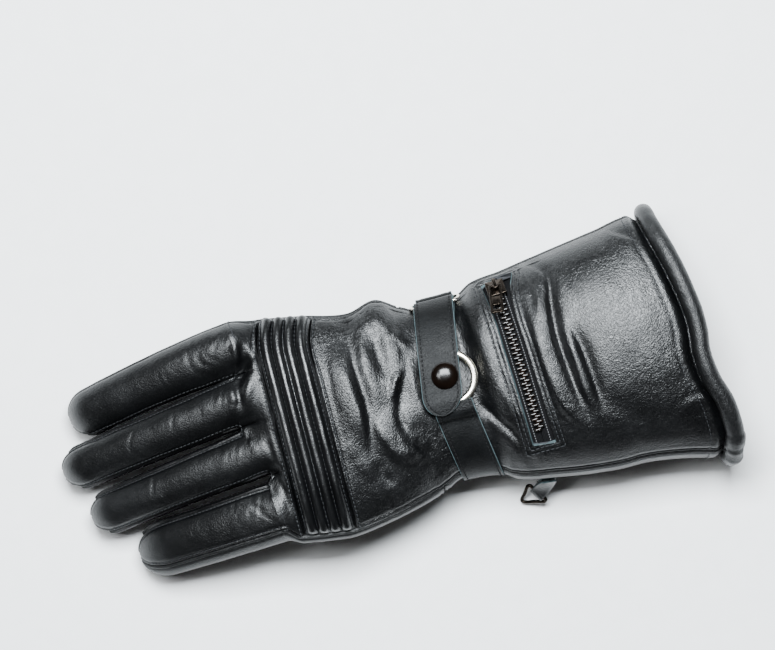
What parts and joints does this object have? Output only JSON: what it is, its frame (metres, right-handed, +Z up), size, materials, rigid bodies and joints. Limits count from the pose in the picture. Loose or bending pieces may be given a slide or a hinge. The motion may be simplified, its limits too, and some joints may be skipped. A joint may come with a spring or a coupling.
{
  "type": "leather motorcycle gauntlet glove",
  "caption": "Left-hand leather riding gauntlet lying palm down, with a ribbed knuckle panel, wrist strap with snap and ring, zipped cuff and rolled hem.",
  "frame": {"origin": "middle of the glove's box, on the surface that it lies on", "axes": "+X from the fingertips to the cuff's mouth, +Y to the thumb side, +Z up through the back of the hand"},
  "size_m": [0.3354, 0.1386, 0.0652],
  "materials": {
    "leather": "semi-gloss, fine grain",
    "nickel": "polished",
    "black_metal": "glossy",
    "zip_tape": "woven, matte",
    "zip_teeth": "glossy"
  },
  "bodies": {
    "glove": {"hand_back": "leather", "hand_palm": "leather", "thumb": "leather", "fourchette_index_middle": "leather", "fourchette_middle_ring": "leather", "fourchette_ring_little": "leather", "rib_panel": "leather", "gauntlet_back": "leather", "gauntlet_palm": "leather", "hem_binding": "leather", "strap_tongue": "leather", "strap_lower": "leather", "loop_keeper": "leather", "clip_tab": "leather", "strap_ring": "nickel", "strap_loop": "nickel", "snap_cap": "black_metal", "zip_slider": "black_metal", "clip_loop": "black_metal", "zip_tape_wrist": "zip_tape", "zip_tape_mouth": "zip_tape", "zip_teeth_wrist": "zip_teeth", "zip_teeth_mouth": "zip_teeth"},
    "zip_pull": {"zip_pull": "black_metal"}
  },
  "joints": [
    {"name": "zip_pull_swing", "type": "hinge", "parent": "glove", "child": "zip_pull", "pos_m": [0.06554, 0.04779, 0.04888], "axis": [-0.9914, 0.0969, -0.0875], "range_deg": [0, 170]}
  ]
}
